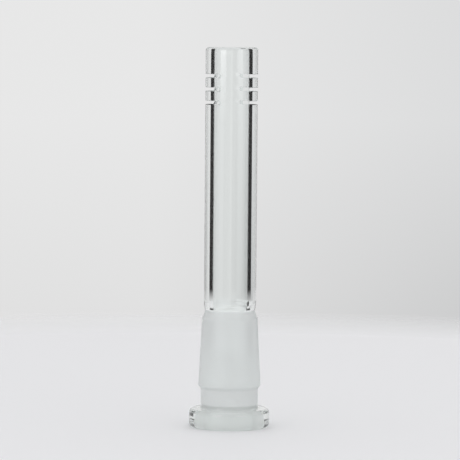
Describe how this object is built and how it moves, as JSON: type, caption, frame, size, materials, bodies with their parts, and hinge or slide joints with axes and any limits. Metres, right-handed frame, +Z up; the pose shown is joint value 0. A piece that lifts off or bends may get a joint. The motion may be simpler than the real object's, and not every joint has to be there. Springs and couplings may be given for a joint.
{
  "type": "ground joint diffuser down-tube",
  "caption": "Clear glass tube that stands on its flange: a ground cone outside, a ground socket inside, and saw-cut diffuser slots near the tip.",
  "frame": {"origin": "centre of the flange's resting face, on the axis of the tube", "axes": "+Z up the axis to the slotted tip; +X and -X through the middles of the two columns of saw cuts"},
  "size_m": [0.0244, 0.0244, 0.1148],
  "materials": {
    "flange_glass": "clear, fire-polished, faintly green where it is thick",
    "neck_glass": "matt, with faint turning rings outside and ground inside",
    "ground_glass": "finely ground, matt",
    "seal_glass": "clear, flame-worked above, with the grinding running on over its shoulder",
    "stem_glass": "clear, drawn tube, with frosted saw cuts"
  },
  "bodies": {
    "root": {"base_flange": "flange_glass", "joint_neck": "neck_glass", "ground_cone": "ground_glass", "flame_seal": "seal_glass", "stem_tube": "stem_glass"}
  },
  "joints": []
}
